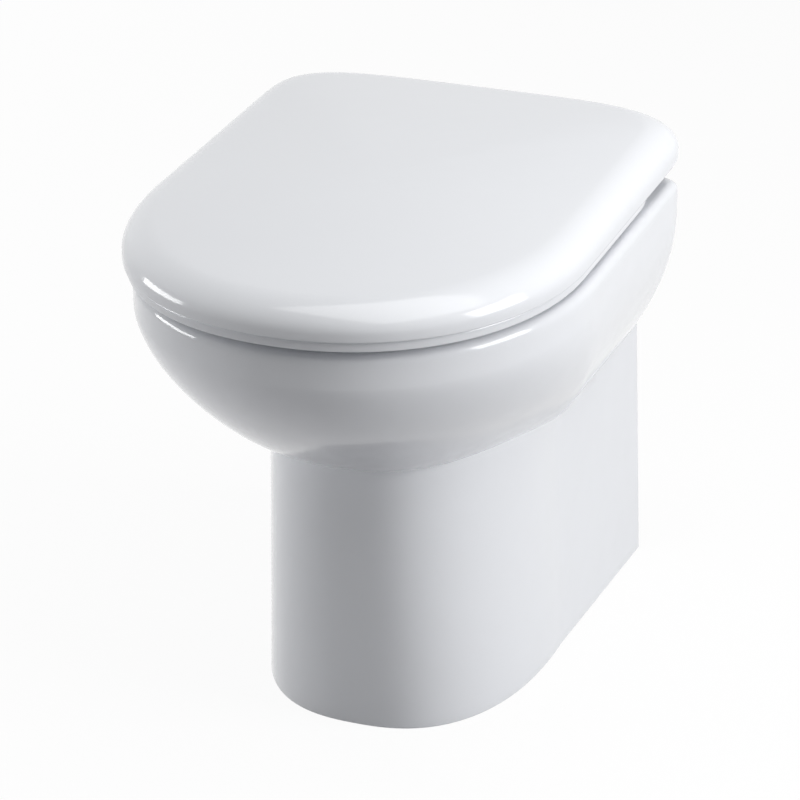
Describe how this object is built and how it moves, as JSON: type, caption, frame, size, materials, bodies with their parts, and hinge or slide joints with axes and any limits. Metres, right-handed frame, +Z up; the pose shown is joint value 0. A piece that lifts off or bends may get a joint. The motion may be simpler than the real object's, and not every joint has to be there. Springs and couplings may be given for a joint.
{
  "type": "back to wall toilet",
  "caption": "Back to wall toilet: a white china pan with a waisted pedestal, and a wrap-over seat and cover that lift on rear hinges.",
  "frame": {"origin": "on the floor, midway between the wall and the front of the cover, on the centre plane", "axes": "+X to the right of a person who faces the wall, +Y into the wall, +Z up"},
  "size_m": [0.364, 0.55, 0.4561],
  "materials": {
    "china": "glossy white glaze",
    "seat_plastic": "glossy white thermoset",
    "buffer_rubber": "soft pale grey",
    "fixing_rubber": "soft black",
    "hinge_chrome": "bright plated",
    "fixing_steel": "plain stainless",
    "nut_plastic": "natural nylon"
  },
  "bodies": {
    "root": {"pan": "china", "hinge_gasket_right": "fixing_rubber", "hinge_gasket_left": "fixing_rubber", "hinge_post_right": "hinge_chrome", "hinge_post_left": "hinge_chrome", "hinge_pin_right": "fixing_steel", "hinge_pin_left": "fixing_steel", "hinge_stud_right": "fixing_steel", "hinge_stud_left": "fixing_steel", "cone_bush_right": "fixing_rubber", "cone_bush_left": "fixing_rubber", "clamp_washer_right": "fixing_steel", "clamp_washer_left": "fixing_steel", "wing_nut_right": "nut_plastic", "wing_nut_left": "nut_plastic"},
    "seat": {"seat_ring": "seat_plastic", "seat_hinge_arm_right": "hinge_chrome", "seat_hinge_arm_left": "hinge_chrome", "seat_arm_screws": "fixing_steel", "seat_buffers_front": "buffer_rubber", "seat_buffers_rear": "buffer_rubber"},
    "cover": {"cover": "seat_plastic", "cover_hinge_arm_right": "hinge_chrome", "cover_hinge_arm_left": "hinge_chrome", "cover_arm_screws": "fixing_steel", "cover_buffers": "buffer_rubber"}
  },
  "joints": [
    {"name": "seat_hinge", "type": "hinge", "parent": "root", "child": "seat", "pos_m": [0, 0.203, 0.43], "axis": [-1, 0, 0], "range_deg": [0, 95]},
    {"name": "cover_hinge", "type": "hinge", "parent": "seat", "child": "cover", "pos_m": [0, 0.203, 0.43], "axis": [-1, 0, 0], "range_deg": [0, 90]}
  ]
}
